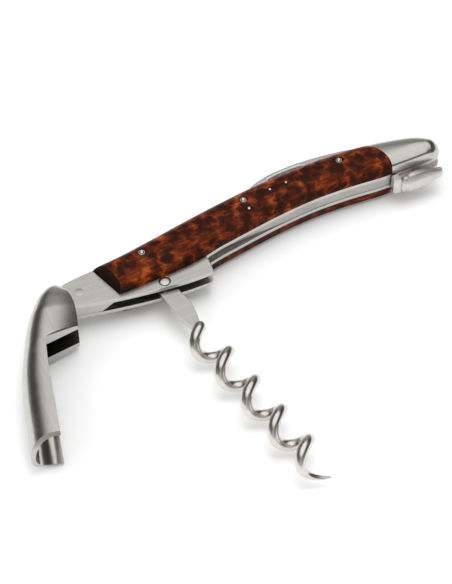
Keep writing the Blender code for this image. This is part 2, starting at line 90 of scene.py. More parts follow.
LEVER_HEAD = [((2.9, 4.3), (3.3, 3.75), 3.2), ((1.3, 4.25), (4.0, 1.8), 4.3),
              ((-1.0, 3.6), (4.4, 0.2), 5.1), ((-3.4, 1.9), (4.6, -1.6), 5.7),
              ((-5.6, -0.5), (4.6, -3.5), 6.0),
              ((-7.6, -3.1), (4.4, -5.2), 6.2),
              ((-9.4, -6.0), (3.9, -7.4), 6.2),
              ((-11.0, -8.9), (3.2, -9.8), 6.2),
              ((-12.25, -11.5), (2.7, -11.2), 6.2)]
LEVER_ARM = [((-12.45, -12.0), (-6.3, -12.2), 6.2),
             ((-14.2, -15.4), (-7.6, -16.2), 6.2),
             ((-15.7, -18.9), (-8.9, -20.6), 6.2),
             ((-17.0, -22.6), (-9.9, -24.6), 6.2),
             ((-18.2, -26.4), (-10.9, -28.6), 6.2),
             ((-19.3, -30.3), (-11.9, -32.6), 6.2),
             ((-20.4, -34.6), (-13.0, -36.8), 6.2),
             ((-22.2, -41.0), (-14.6, -42.9), 6.2)]
LEVER_POWER = 2.5
FOOT_WALL = 1.1
SCOOP_HALF = 5.3

SCALE_PINS = [("front", (26.2, 2.2), 0.85), ("middle", (57.4, 7.0), 0.85),
              ("rear", (86.4, 8.6), 0.85)]
INLAY = [("a", (57.6, 3.9), 0.5), ("b", (65.4, 7.4), 0.45),
         ("c", (70.3, 7.8), 0.45)]
FRONT_RIVET = ((7.6, -0.2), 1.25)

WORM_DIR = math.radians(-79.25)
WORM_START = (30.06, -24.34)
PITCH = 10.89
COIL_R = 3.12
WIRE_R = 1.45
COIL_FROM = math.radians(-6.0)
COIL_TO = math.radians(1655.0)
TAPER = math.radians(170.0)
FLARE = math.radians(95.0)


# ------------------------------------------------------------ 2D helpers
def smooth(points, per=4):
    out = []
    n = len(points)
    for i in range(n - 1):
        a = points[max(i - 1, 0)]
        b = points[i]
        c = points[i + 1]
        d = points[min(i + 2, n - 1)]
        for k in range(per):
            t = k / per
            out.append(tuple(
                0.5 * (2 * b[j] + (c[j] - a[j]) * t
                       + (2 * a[j] - 5 * b[j] + 4 * c[j] - d[j]) * t * t
                       + (3 * b[j] - a[j] - 3 * c[j] + d[j]) * t ** 3)
                for j in range(len(b))))
    out.append(tuple(points[-1]))
    return out


def arc(centre, r, a0, a1, n):
    return [(centre[0] + r * math.cos(math.radians(a0 + (a1 - a0) * i / n)),
             centre[1] + r * math.sin(math.radians(a0 + (a1 - a0) * i / n)))
            for i in range(n + 1)]


def tidy(outline, gap=0.05):
    out = []
    for p in outline:
        if not out or math.dist(p, out[-1]) > gap:
            out.append(p)
    if math.dist(out[0], out[-1]) <= gap:
        out.pop()
    return out


def area(outline):
    return 0.5 * sum(p[0] * q[1] - q[0] * p[1]
                     for p, q in zip(outline, outline[1:] + outline[:1]))


def anticlockwise(outline):
    return outline if area(outline) > 0 else outline[::-1]


def inset(outline, d):
    out = []
    n = len(outline)
    for i in range(n):
        p0, p1, p2 = outline[i - 1], outline[i], outline[(i + 1) % n]
        n1 = (-(p1[1] - p0[1]), p1[0] - p0[0])
        n2 = (-(p2[1] - p1[1]), p2[0] - p1[0])
        l1, l2 = math.hypot(*n1), math.hypot(*n2)
        m = (n1[0] / l1 + n2[0] / l2, n1[1] / l1 + n2[1] / l2)
        lm = math.hypot(*m) or 1.0
        m = (m[0] / lm, m[1] / lm)
        c = max(m[0] * n1[0] / l1 + m[1] * n1[1] / l1, 0.6)
        out.append((p1[0] + m[0] * d / c, p1[1] + m[1] * d / c))
    return out


def below(curve, x):
    pts = sorted(curve)
    for p, q in zip(pts, pts[1:]):
        if p[0] <= x <= q[0]:
            f = (x - p[0]) / max(q[0] - p[0], 1e-9)
            return p[1] + f * (q[1] - p[1])
    return pts[0][1] if x < pts[0][0] else pts[-1][1]


# ------------------------------------------------------------ 3D helpers
def piece(name, bm, mats, angle=38.0, weighted=True, flip=True):
    """A bmesh in handle millimetres becomes an object at the frame origin."""
    if flip and bm.calc_volume(signed=True) < 0:
        bmesh.ops.reverse_faces(bm, faces=bm.faces)
    for v in bm.verts:
        v.co.x = (v.co.x - ORIGIN[0]) / 1000
        v.co.y = (v.co.y - ORIGIN[1]) / 1000
        v.co.z = (v.co.z - ORIGIN[2]) / 1000
    mesh = bpy.data.meshes.new(name)
    bm.to_mesh(mesh)
    bm.free()
    ob = bpy.data.objects.new(name, mesh)
    bpy.context.scene.collection.objects.link(ob)
    for m in (mats if isinstance(mats, (list, tuple)) else [mats]):
        if m is not None:
            mesh.materials.append(m)
    mesh.shade_smooth()
    mesh.set_sharp_from_angle(angle=math.radians(angle))
    ob["soften"] = bool(weighted)
    return ob


def weigh(ob):
    m = ob.modifiers.new("weighted", "WEIGHTED_NORMAL")
    m.keep_sharp = True
    m.weight = 60
    return ob


def layers(bm, rings, cap=True):
    rows = []
    for outline, z in rings:
        rows.append([bm.verts.new((p[0], p[1], z)) for p in outline])
    for a, b in zip(rows, rows[1:]):
        n = len(a)
        for i in range(n):
            j = (i + 1) % n
            bm.faces.new((a[i], a[j], b[j], b[i]))
    if cap:
        bm.faces.new(rows[0][::-1])
        bm.faces.new(rows[-1])
    return rows


def rounded(bm, outline, z0, z1, r=0.15):
    """A flat plate with its edges rounded over."""
    lo, hi = min(z0, z1), max(z0, z1)
    o = anticlockwise(tidy(outline))
    a, b = inset(o, r), inset(o, r * 0.29)
    layers(bm, [(a, lo), (b, lo + r * 0.29), (o, lo + r), (o, hi - r),
                (b, hi - r * 0.29), (a, hi)])


def plain(bm, outline, z0, z1):
    o = anticlockwise(tidy(outline))
    layers(bm, [(o, z0), (o, z1)])


def skin(bm, sections, closed=True, cap=True):
    rows = [[bm.verts.new(p) for p in s] for s in sections]
    for a, b in zip(rows, rows[1:]):
        n = len(a)
        for i in range(n if closed else n - 1):
            j = (i + 1) % n
            bm.faces.new((a[i], a[j], b[j], b[i]))
    if cap:
        bm.faces.new(rows[0][::-1])
        bm.faces.new(rows[-1])
    return rows


def turned(bm, centre, profile, sides=40):
    layers(bm, [([(centre[0] + r * math.cos(2 * math.pi * i / sides),
                   centre[1] + r * math.sin(2 * math.pi * i / sides))
                  for i in range(sides)], z) for r, z in profile])


def cutter(name, build, mat=None):
    bm = bmesh.new()
    build(bm)
    return piece(name, bm, mat)


def boolean(ob, tools, how="DIFFERENCE"):
    """Cut with each tool, keep the result as the mesh, drop the tools."""
    for t in tools:
        m = ob.modifiers.new("cut", "BOOLEAN")
        m.operation = how
        m.solver = "EXACT"
        m.object = t
        if t.data.materials:
            m.material_mode = "TRANSFER"
    bpy.context.view_layer.update()
    dg = bpy.context.evaluated_depsgraph_get()
    mesh = bpy.data.meshes.new_from_object(ob.evaluated_get(dg))
    ob.modifiers.clear()
    ob.data = mesh
    for t in tools:
        bpy.data.objects.remove(t, do_unlink=True)
    return ob


def mend(ob, gap=0.03, sharp=40.0):
    """Close the slivers that the cutters leave, and keep corners crisp."""
    bm = bmesh.new()
    bm.from_mesh(ob.data)
    bmesh.ops.dissolve_degenerate(bm, dist=gap / 1000, edges=bm.edges)
    bm.to_mesh(ob.data)
    bm.free()
    ob.data.shade_smooth()
    ob.data.set_sharp_from_angle(angle=math.radians(sharp))
    return ob


def bake(ob):
    bpy.context.view_layer.update()
    dg = bpy.context.evaluated_depsgraph_get()
    mesh = bpy.data.meshes.new_from_object(ob.evaluated_get(dg))
    ob.modifiers.clear()
    ob.data = mesh
    return ob


def soften(ob, width, segments=2, angle=32.0):
    """Round the sharp edges left by the cutters."""
    m = ob.modifiers.new("edges", "BEVEL")
    m.width = width / 1000
    m.segments = segments
    m.limit_method = "ANGLE"
    m.angle_limit = math.radians(angle)
    m.use_clamp_overlap = True
    m.harden_normals = False
    m.miter_outer = "MITER_ARC"
    return weigh(ob)


def add(ob, body, slot, *nodes):
    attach(ob, body)
    if nodes:
        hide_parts(*nodes)
    return ob


# ------------------------------------------------------------- materials
def tree(name):
    m = bpy.data.materials.new(name)
    m.use_nodes = True
    return m, m.node_tree.nodes, m.node_tree.links, \
        m.node_tree.nodes["Principled BSDF"]


def mapped(n, l, scale, turn=0.0, offset=(0, 0, 0)):
    c = n.new("ShaderNodeTexCoord")
    m = n.new("ShaderNodeMapping")
    m.inputs["Rotation"].default_value = (0, 0, turn)
    m.inputs["Location"].default_value = offset
    m.inputs["Scale"].default_value = scale
    l.new(c.outputs["Object"], m.inputs["Vector"])
    return m.outputs["Vector"]


def noise(n, l, vector, scale=1.0, detail=2.0, rough=0.5, distort=0.0):
    t = n.new("ShaderNodeTexNoise")
    t.inputs["Scale"].default_value = scale
    t.inputs["Detail"].default_value = detail
    t.inputs["Roughness"].default_value = rough
    t.inputs["Distortion"].default_value = distort
    l.new(vector, t.inputs["Vector"])
    return t.outputs["Fac"]


def spread(n, l, value, a, b, lo, hi):
    t = n.new("ShaderNodeMapRange")
    t.inputs["From Min"].default_value = a
    t.inputs["From Max"].default_value = b
    t.inputs["To Min"].default_value = lo
    t.inputs["To Max"].default_value = hi
    l.new(value, t.inputs["Value"])
    return t.outputs["Result"]


def ramp(n, l, value, stops):
    t = n.new("ShaderNodeValToRGB")
    e = t.color_ramp.elements
    while len(e) < len(stops):
        e.new(0.5)
    for k, (at, colour) in enumerate(stops):
        e[k].position = at
        e[k].color = (*colour, 1.0)
    l.new(value, t.inputs["Fac"])
    return t.outputs["Color"]


def mix(n, l, factor, a, b, how="MIX"):
    t = n.new("ShaderNodeMix")
    t.data_type = "RGBA"
    t.blend_type = how
    for socket, v in ((t.inputs["Factor"], factor), (t.inputs[6], a),
                      (t.inputs[7], b)):
        if hasattr(v, "links"):
            l.new(v, socket)
        elif isinstance(v, tuple):
            socket.default_value = (*v, 1.0)
        else:
            socket.default_value = v
    return t.outputs[2]


def bump(n, l, p, heights, strengths, distance=0.0001):
    normal = None
    for h, s in zip(heights, strengths):
        b = n.new("ShaderNodeBump")
        b.inputs["Strength"].default_value = s
        b.inputs["Distance"].default_value = distance
        l.new(h, b.inputs["Height"])
        if normal is not None:
            l.new(normal, b.inputs["Normal"])
        normal = b.outputs["Normal"]
    l.new(normal, p.inputs["Normal"])


def steel(name, light, dark, rough, brush=(60, 2600, 2600), turn=0.0,
          grain=0.12, spread_r=0.10):
    """Brushed steel: fine lines along the grinding, softer cloudy wear."""
    m, n, l, p = tree(name)
    p.inputs["Metallic"].default_value = 1.0
    lines = noise(n, l, mapped(n, l, brush, turn), 1.0, 3.0, 0.6)
    cloud = noise(n, l, mapped(n, l, (150, 220, 220), turn), 1.0, 4.0, 0.55)
    colour = mix(n, l, spread(n, l, cloud, 0.3, 0.7, 0.0, 1.0), dark, light)
    colour = mix(n, l, spread(n, l, lines, 0.35, 0.65, 0.0, 0.35), colour,
                 tuple(c * 0.86 for c in dark))
    l.new(colour, p.inputs["Base Color"])
    r1 = spread(n, l, lines, 0.3, 0.7, rough - spread_r * 0.5,
                rough + spread_r * 0.5)
    r2 = n.new("ShaderNodeMath")
    r2.operation = "ADD"
    l.new(r1, r2.inputs[0])
    l.new(spread(n, l, cloud, 0.3, 0.7, -0.03, 0.04), r2.inputs[1])
    l.new(r2.outputs[0], p.inputs["Roughness"])
    speck = noise(n, l, mapped(n, l, (1400, 1400, 1400)), 1.0, 2.0, 0.5)
    bump(n, l, p, [lines, speck], [grain, grain * 0.5], 0.00006)
    return m


def snakewood(name):
    m, n, l, p = tree(name)
    # dark flecks in loose rows across the grain, fibres along it
    warp = noise(n, l, mapped(n, l, (330, 400, 380)), 1.0, 3.0, 0.6)
    warp2 = noise(n, l, mapped(n, l, (400, 330, 380), 0.0, (9, 4, 2)), 1.0,
                  3.0, 0.6)
    joined = n.new("ShaderNodeVectorMath")
    joined.operation = "ADD"
    w = n.new("ShaderNodeCombineXYZ")
    l.new(spread(n, l, warp, 0.0, 1.0, -0.9, 0.9), w.inputs["X"])
    l.new(spread(n, l, warp2, 0.0, 1.0, -0.8, 0.8), w.inputs["Y"])
    l.new(mapped(n, l, (330, 330, 330), 0.35), joined.inputs[0])
    l.new(w.outputs[0], joined.inputs[1])
    cell = n.new("ShaderNodeTexVoronoi")
    cell.feature = "SMOOTH_F1"
    cell.inputs["Scale"].default_value = 1.0
    cell.inputs["Smoothness"].default_value = 0.25
    cell.inputs["Randomness"].default_value = 0.65
    l.new(joined.outputs[0], cell.inputs["Vector"])
    blot = noise(n, l, joined.outputs[0], 1.7, 3.0, 0.55, 0.4)
    fibre = noise(n, l, mapped(n, l, (210, 1500, 1500), 0.05), 1.0, 4.0,
                  0.65, 0.3)
    fine = noise(n, l, mapped(n, l, (420, 5600, 5600), 0.05), 1.0, 2.0, 0.6)

    def blend(values):
        last = None
        for value, weight in values:
            t = n.new("ShaderNodeMath")
            t.operation = "MULTIPLY_ADD"
            l.new(value, t.inputs[0])
            t.inputs[1].default_value = weight
            if last is None:
                t.inputs[2].default_value = 0.0
            else:
                l.new(last, t.inputs[2])
            last = t.outputs[0]
        return last
    row = n.new("ShaderNodeSeparateXYZ")
    l.new(joined.outputs[0], row.inputs["Vector"])
    wave = n.new("ShaderNodeMath")
    wave.operation = "SINE"
    l.new(spread(n, l, row.outputs["X"], -100.0, 100.0, -450.0, 450.0),
          wave.inputs[0])
    patch = blend([(cell.outputs["Distance"], 0.56), (blot, -0.34),
                   (fibre, -0.46), (wave.outputs[0], 0.045)])
    body = ramp(n, l, spread(n, l, patch, -0.26, 0.12, 0.0, 1.0), [
        (0.0, (0.019, 0.0062, 0.0035)), (0.20, (0.029, 0.0075, 0.004)),
        (0.40, (0.060, 0.0100, 0.0038)), (0.58, (0.104, 0.016, 0.0042)),
        (0.78, (0.175, 0.031, 0.006)), (1.0, (0.30, 0.066, 0.0105))])
    tone = mix(n, l, spread(n, l, fine, 0.48, 0.75, 0.0, 0.45), body,
               (0.05, 0.012, 0.006))
    # faces turned towards the sawn front end are darkened almost to black
    c = n.new("ShaderNodeTexCoord")
    s = n.new("ShaderNodeSeparateXYZ")
    l.new(c.outputs["Normal"], s.inputs["Vector"])
    end = spread(n, l, s.outputs["X"], -0.22, -0.5, 0.0, 0.94)
    tone = mix(n, l, end, tone, (0.009, 0.006, 0.005))
    l.new(tone, p.inputs["Base Color"])
    l.new(spread(n, l, fibre, 0.3, 0.7, 0.28, 0.42), p.inputs["Roughness"])
    p.inputs["Specular IOR Level"].default_value = 0.05
    bump(n, l, p, [fibre, fine], [0.10, 0.08], 0.00008)
    return m


SATIN = steel("satin_steel_mat", (0.60, 0.585, 0.555), (0.52, 0.505, 0.475),
              0.34, grain=0.08)
EDGE = steel("plate_steel_mat", (0.64, 0.625, 0.59), (0.55, 0.535, 0.50),
             0.29, grain=0.07)
LEVER_SIDE = steel("lever_steel_mat", (0.57, 0.555, 0.52),
                   (0.51, 0.495, 0.46), 0.23, (2000, 70, 2000), -0.28,
                   0.035, 0.05)
TROUGH = steel("trough_steel_mat", (0.62, 0.60, 0.55), (0.5, 0.485, 0.44),
               0.13, (2000, 90, 2000), -0.28, 0.06)


def deepen(m, start, stop):
    """The scoop darkens towards the milled slot, which light can't reach."""
    n, l = m.node_tree.nodes, m.node_tree.links
    p = n["Principled BSDF"]
    old = p.inputs["Base Color"].links[0].from_socket
    c = n.new("ShaderNodeTexCoord")
    at = n.new("ShaderNodeSeparateXYZ")
    l.new(c.outputs["Object"], at.inputs["Vector"])
    f = spread(n, l, at.outputs["Y"], (start - ORIGIN[1]) / 1000,
               (stop - ORIGIN[1]) / 1000, 0.0, 1.0)
    l.new(mix(n, l, f, (0.07, 0.066, 0.06), old), p.inputs["Base Color"])


deepen(TROUGH, -24.5, -33.0)
# near-black steel inside the lever's slot and pin bore: painted shade for hollows that light
# hardly reaches
SLOT_SHADE = steel("slot_painted_shade_mat", (0.10, 0.096, 0.09), (0.05, 0.048, 0.045),
               0.46, (2400, 120, 2400), -0.28)
BOLSTER = steel("bolster_steel_mat", (0.61, 0.595, 0.56),
                (0.53, 0.515, 0.48), 0.25, (50, 2400, 2400), 0.05, 0.05,
                0.06)
WIRE = steel("worm_steel_mat", (0.76, 0.725, 0.68), (0.66, 0.625, 0.58), 0.22,
             (900, 900, 900), 0.0, 0.03, 0.05)
PIN = steel("pin_steel_mat", (0.72, 0.70, 0.66), (0.58, 0.56, 0.52), 0.2,
            (900, 900, 900), 0.0, 0.04)
BLADE = steel("blade_steel_mat", (0.66, 0.65, 0.63), (0.56, 0.55, 0.53), 0.24,
              (1800, 60, 1800), 0.1)
SPRING = steel("spring_steel_mat", (0.50, 0.49, 0.47), (0.38, 0.375, 0.36),
               0.3)
CAST = steel("cast_steel_mat", (0.76, 0.73, 0.69), (0.64, 0.61, 0.57), 0.46,
             (700, 700, 700), 0.0, 0.12)
WOOD = snakewood("snakewood_mat")

# ------------------------------------------------------------ side plates
back = smooth(BACK_EDGE, 6)
belly = smooth(BELLY_EDGE, 6)
ear = smooth(EAR_EDGE, 6)
tongue = arc(HINGE, TONGUE_R, 286.0, 84.0, 40)
ear_step = [(41.8, -3.5), (41.85, -5.4), (41.6, -7.9), (41.2, -8.7),
            (40.6, -8.95)]
liner_outline = anticlockwise(tidy(back + belly + smooth(ear_step, 4) + ear
                                   + tongue))

for side, sign in (("upper", 1), ("lower", -1)):
    bm = bmesh.new()
    rounded(bm, liner_outline, sign * CAVITY, sign * LINER_OUT, 0.14)
    plate = piece(side + "_plate", bm, EDGE)

    def holes(bm):
        for c, r in ((WORM_PIVOT, 1.56), (HINGE, 1.36)):
            turned(bm, c, [(r, -9), (r, 9)], 36)
    boolean(plate, [cutter("holes", holes)])
    soften(plate, 0.07, 1, 50.0)
    add(plate, "handle", "satin_steel", side + "_liner")

# ---------------------------------------------------- scales and bolsters
BELLY_SIDE = [(0.0, 2.65), (0.03, 3.6), (0.06, 4.6)] + smooth(
    [(0.11, 5.05), (0.42, 5.36), (1.0, 5.68), (1.9, 5.97), (3.2, 6.15),
     (5.0, 6.2), (8.0, 6.2)], 5)
BELLY_UPPER = [(0.0, 2.65), (0.22, 3.5), (0.5, 4.4)] + smooth(
    [(0.72, 5.05), (1.1, 5.3), (1.7, 5.6), (2.6, 5.9), (3.8, 6.12),
     (5.4, 6.2), (8.0, 6.2)], 5)
BACK_SIDE = smooth([(0.0, 2.65), (0.15, 3.0), (0.32, 3.5), (0.80, 4.25),
                    (1.4, 4.95), (2.0, 5.46), (2.8, 5.86), (3.8, 6.1),
                    (5.2, 6.2), (8.0, 6.2)], 5)
FRONT_SIDE = smooth([(0.0, 2.65), (0.1, 2.9), (0.42, 3.8), (0.88, 5.0),
                     (1.22, 5.68), (1.55, 6.0), (2.1, 6.16), (3.0, 6.22),
                     (8.0, 6.25)], 5)
STEPS = [0.0, 0.05, 0.12, 0.2, 0.3, 0.45, 0.6, 0.8, 1.05, 1.4, 1.8, 2.3, 2.9,
         3.6, 4.4]


def far(points, line):
    """Distance from each point to an open line."""
    p = np.array(points)[:, None, :]
    a = np.array(line[:-1])[None]
    b = np.array(line[1:])[None]
    d = b - a
    t = np.clip(((p - a) * d).sum(2) / np.maximum((d * d).sum(2), 1e-12), 0, 1)
    return np.sqrt((((a + t[..., None] * d) - p) ** 2).sum(2)).min(1)


def stretch(low, high, count, dense):
    """Stations from low to high, packed near whichever ends are dense."""
    length = high - low
    s = [x for x in STEPS if x < length * 0.45]
    first = s if dense[0] else [0.0]
    last = s if dense[1] else [0.0]
    a, b = first[-1], length - last[-1]
    middle = [a + (b - a) * k / count for k in range(1, count)]
    return [low + x for x in first + middle + [length - x for x in last[::-1]]]


def cover(name, sign, mat, start, stop, rim, dense, count, across=22):
    """start and stop are lines from the belly to the back.  The surface is
    a grid between them, as high as its distance from the rim says."""
    lo_a, lo_b = start[0], stop[0]
    hi_a, hi_b = start[-1], stop[-1]
    low = [p for p in rim["belly"]]
    top = [p for p in rim["back"]]
    run = math.dist(lo_a, lo_b)
    us = [u / run for u in stretch(0.0, run, count, dense)]

    def along(line, f):
        total = [0.0]
        for p, q in zip(line, line[1:]):
            total.append(total[-1] + math.dist(p, q))
        x = f * total[-1]
        for k in range(len(line) - 1):
            if x <= total[k + 1] or k == len(line) - 2:
                g = (x - total[k]) / max(total[k + 1] - total[k], 1e-9)
                return tuple(a + (b - a) * g
                             for a, b in zip(line[k], line[k + 1]))

    plan = []
    for u in us:
        b0 = along(low, u)
        t0 = along(top, u)
        width = math.dist(b0, t0)
        vs = [v / max(width, 1e-6) for v in stretch(0.0, width, across,
                                                    (True, True))] \
            if width > 3.0 else None
        plan.append((u, b0, t0, vs))
    size = len(plan[len(plan) // 2][3])
    rows = []
    for u, b0, t0, vs in plan:
        if vs is None or len(vs) != size:
            ref = plan[len(plan) // 2][3]
            vs = ref
        row = []
        for v in vs:
            x = b0[0] + (t0[0] - b0[0]) * v
            y = b0[1] + (t0[1] - b0[1]) * v
            for w, line in (((1 - u) ** 2, start), (u ** 2, stop)):
                q = along(line, v)
                s0, s1 = line[0], line[-1]
                x += w * (q[0] - (s0[0] + (s1[0] - s0[0]) * v))
                y += w * (q[1] - (s0[1] + (s1[1] - s0[1]) * v))
            row.append((x, y, v))
        rows.append(row)
    flat = [(x, y) for row in rows for x, y, _ in row]
    d = far(flat, rim["all"])
    vs = np.array([v for row in rows for _, _, v in row])
    w = np.clip((vs - 0.3) / 0.4, 0, 1)
    nose = np.clip((np.array([p[0] for p in flat]) - 109.5) / 4.0, 0, 1)
    w = np.maximum(w * w * (3 - 2 * w), nose)
    side_on = BELLY_UPPER if sign > 0 else BELLY_SIDE
    za = np.interp(d, [p[0] for p in side_on], [p[1] for p in side_on])
    zb = np.interp(d, [p[0] for p in BACK_SIDE], [p[1] for p in BACK_SIDE])
    zf = np.interp(far(flat, FRONT_LINE), [p[0] for p in FRONT_SIDE],
                   [p[1] for p in FRONT_SIDE])
    z = np.minimum(za * (1 - w) + zb * w, zf)
    bm = bmesh.new()
    grid, k = [], 0
    for row in rows:
        line = []
        for x, y, _ in row:
            line.append(bm.verts.new((x, y, sign * float(z[k]))))
            k += 1
        grid.append(line)
    for a, b in zip(grid, grid[1:]):
        for i in range(len(a) - 1):
            bm.faces.new((a[i], b[i], b[i + 1], a[i + 1]))
    edge = grid[0][:] + [r[-1] for r in grid[1:]] + grid[-1][-2::-1] \
        + [r[0] for r in grid[-2:0:-1]]
    foot = [bm.verts.new((v.co.x, v.co.y, sign * 2.63)) for v in edge]
    n = len(edge)
    for i in range(n):
        j = (i + 1) % n
        bm.faces.new((edge[i], edge[j], foot[j], foot[i]))
    bm.faces.new(foot)
    bmesh.ops.remove_doubles(bm, verts=bm.verts, dist=0.004)
    bmesh.ops.recalc_face_normals(bm, faces=bm.faces)
    return piece(name, bm, mat, 55.0)


def crossing(line, other):
    """Where two lines meet, and where on each."""
    for i, (a, b) in enumerate(zip(line, line[1:])):
        for j, (c, d) in enumerate(zip(other, other[1:])):
            r = (b[0] - a[0], b[1] - a[1])
            s = (d[0] - c[0], d[1] - c[1])
            den = r[0] * s[1] - r[1] * s[0]
            if abs(den) < 1e-12:
                continue
            t = ((c[0] - a[0]) * s[1] - (c[1] - a[1]) * s[0]) / den
            u = ((c[0] - a[0]) * r[1] - (c[1] - a[1]) * r[0]) / den
            if 0 <= t <= 1 and 0 <= u <= 1:
                return (a[0] + r[0] * t, a[1] + r[1] * t), i, j
    return None


wood_low = smooth(SCALE_LOW, 6)[::-1] + belly[::-1][1:]      # front to nose
wood_top = [(13.3, 4.55)] + [p for p in back if 13.6 < p[0]][:]
joint = smooth(BOLSTER_ARC, 8)[::-1]                         # belly to back


def part_at(low, top, line, keep):
    pb, ib, jb = crossing(low, line)
    pt, it, jt = crossing(top, line)
    middle = [pb] + line[jb + 1:jt + 1] + [pt]
    if keep == "before":
        return low[:ib + 1] + [pb], top[:it + 1] + [pt], middle
    return [pb] + low[ib + 1:], [pt] + top[it + 1:], middle


nose = [p for p in back if p[0] > 100.0]
nose_top_end = max(range(len(back)), key=lambda k: back[k][0])
nose_tip = back[nose_top_end]
around = back[nose_top_end:]                                 # tip to belly
full_low = wood_low + around[::-1][1:]
full_top = [p for p in wood_top if p[0] <= nose_tip[0]]
full_top = [(13.3, 4.55)] + back[[k for k, p in enumerate(back)
                                  if p[0] > 13.6][0]:nose_top_end + 1]

FRONT_LINE = [(16.5, -5.35), (13.3, 4.55)]

for side, sign in (("upper", 1), ("lower", -1)):
    line = [(p[0] - 0.05, p[1]) for p in joint]
    lo, to, end = part_at(full_low, full_top, line, "before")
    scale = cover(side + "_wood", sign, WOOD, FRONT_LINE, end,
                  {"belly": lo, "back": to, "all": full_top + full_low[::-1]},
                  (True, False), 60)

    def drill(bm):
        for _, c, r in SCALE_PINS:
            turned(bm, c, [(r + 0.1, -9), (r + 0.1, 9)], 32)
        for _, c, r in INLAY:
            a, b = sorted((sign * 4.6, sign * 9))
            turned(bm, c, [(r + 0.05, a), (r + 0.05, b)], 24)
    boolean(scale, [cutter("pin_holes", drill)])
    weigh(scale)
    add(scale, "handle", "snakewood", side + "_scale")

    line = [(p[0] + 0.05, p[1]) for p in joint]
    lo, to, begin = part_at(full_low, full_top, line, "after")
    tip = [lo[-1], to[-1]]
    bolster = cover(side + "_cap", sign, BOLSTER, begin, tip,
                    {"belly": lo, "back": to,
                     "all": full_top + full_low[::-1]},
                    (False, True), 30)
    weigh(bolster)
    add(bolster, "handle", "satin_steel", side + "_bolster")

    # pin heads, dished a little so that they catch the light as rings
    for tag, c, r in SCALE_PINS:
        bm = bmesh.new()
        turned(bm, c, [(r, sign * 4.0), (r, sign * 6.04),
                       (r * 0.95, sign * 6.1), (r * 0.82, sign * 6.1),
                       (r * 0.66, sign * 5.98), (r * 0.4, sign * 5.84),
                       (r * 0.1, sign * 5.78)], 32)
        add(piece("%s_head_%s" % (side, tag), bm, PIN), "handle", "pin_steel",
            "%s_scale_pin_%s" % (side, tag))
    for tag, c, r in INLAY:
        bm = bmesh.new()
        turned(bm, c, [(r, sign * 4.7), (r, sign * 6.06),
                       (r * 0.8, sign * 6.16), (r * 0.4, sign * 6.2),
                       (r * 0.1, sign * 6.2)], 24)
        add(piece("%s_dot_%s" % (side, tag), bm, PIN), "handle", "pin_steel",
            "%s_inlay_pin_%s" % (side, tag))

# --------------------------------------------------- between the plates
spacer_back = [p for p in back if p[0] < 15.0]
spacer_low = [p for p in ear if p[0] < 11.6]
rear_low = [(spacer_back[-1][0], -1.5), (12.6, -3.4)]
outline = anticlockwise(tidy(inset(anticlockwise(tidy(
    spacer_back + rear_low + spacer_low + tongue)), 0.12)))
bm = bmesh.new()
tilt = []
for p in outline:
    lean = 3.1 if (9.5 < p[0] < 14.0 and p[1] < -2.0) else 0.0
    tilt.append((p[0] + lean, p[1] - 0.2 * lean))
layers(bm, [(outline, -CORE), (tilt, CORE)])
block = piece("tongue_block", bm, SATIN)
boolean(block, [cutter("block_bore", lambda b: turned(
    b, HINGE, [(1.36, -9), (1.36, 9)], 48))])
add(weigh(block), "handle", "satin_steel", "front_spacer")

x0, x1 = spacer_back[-1][0] + 0.25, 58.6
top = [p for p in back if x0 < p[0] < x1]
top = [(x0, below(back[:50], x0))] + top + [(x1, below(back[:50], x1))]
low = [(p[0], p[1] - 3.3) for p in top[::-1]]
bm = bmesh.new()
rounded(bm, inset(anticlockwise(tidy(top + low)), 0.1), -CORE, CORE, 0.2)
add(weigh(piece("back_bar", bm, SPRING)), "handle", "satin_steel",
    "back_spring")

under = sorted(belly)
bottom, topside = [], []
for i in range(91):
    x = 42.4 + (105.2 - 42.4) * i / 90
    sunk = 2.6 * max(0.0, 1.0 - (x - 42.4) / 27.0) ** 1.6
    base = below(under, x) + 0.05 + sunk
    bottom.append((x, base))
    topside.append((x, max(base + 1.5, min(below(under, x) + 2.9, 4.1))
                    if x < 92
                    else below(under, x) + 2.9 - (x - 92) / 13.2 * 0.9))
bm = bmesh.new()
rounded(bm, bottom + topside[::-1], -CORE, CORE, 0.22)
add(weigh(piece("belly_bar", bm, SPRING)), "handle", "satin_steel",
    "belly_spring")

# collar, neck and plain fluted thumb piece on the end of the spring
bm = bmesh.new()
rounded(bm, [(98.25, 0.40), (98.05, -1.35), (98.6, -1.95), (99.95, -2.15),
             (100.25, 0.40)], -2.66, 2.66, 0.3)
rounded(bm, [(99.6, 1.5), (99.6, -1.5), (104.8, -1.5), (104.8, 1.5)],
        -1.2, 1.2, 0.25)
add(weigh(piece("spring_collar", bm, CAST, 40.0)), "handle", "satin_steel")

rows = smooth([(0.0, 0.9, 1.9), (0.1, 1.55, 2.9), (0.3, 1.9, 3.5),
               (0.5, 1.85, 3.3), (0.7, 1.55, 2.6), (0.88, 1.15, 1.9),
               (0.97, 1.0, 1.7), (1.0, 0.7, 1.3)], 10)
sections = []
for t, ry, rz in rows:
    ring = []
    for k in range(96):
        a = 2 * math.pi * k / 96
        flute = 1.0 - 0.03 * (0.5 + 0.5 * math.cos(8 * a)) \
            * max(math.sin(math.pi * min(1.0, t * 1.02)), 0.0) ** 0.5
        waist = 1.0 - 0.09 * math.exp(-((t - 0.13) / 0.03) ** 2)
        ring.append((99.9 + 12.4 * t,
                     -1.75 - 0.25 * t + ry * flute * waist * math.cos(a),
                     rz * flute * waist * math.sin(a)))
    sections.append(ring)
bm = bmesh.new()
skin(bm, sections)
add(piece("thumb_piece", bm, CAST, 60.0), "handle", "satin_steel")

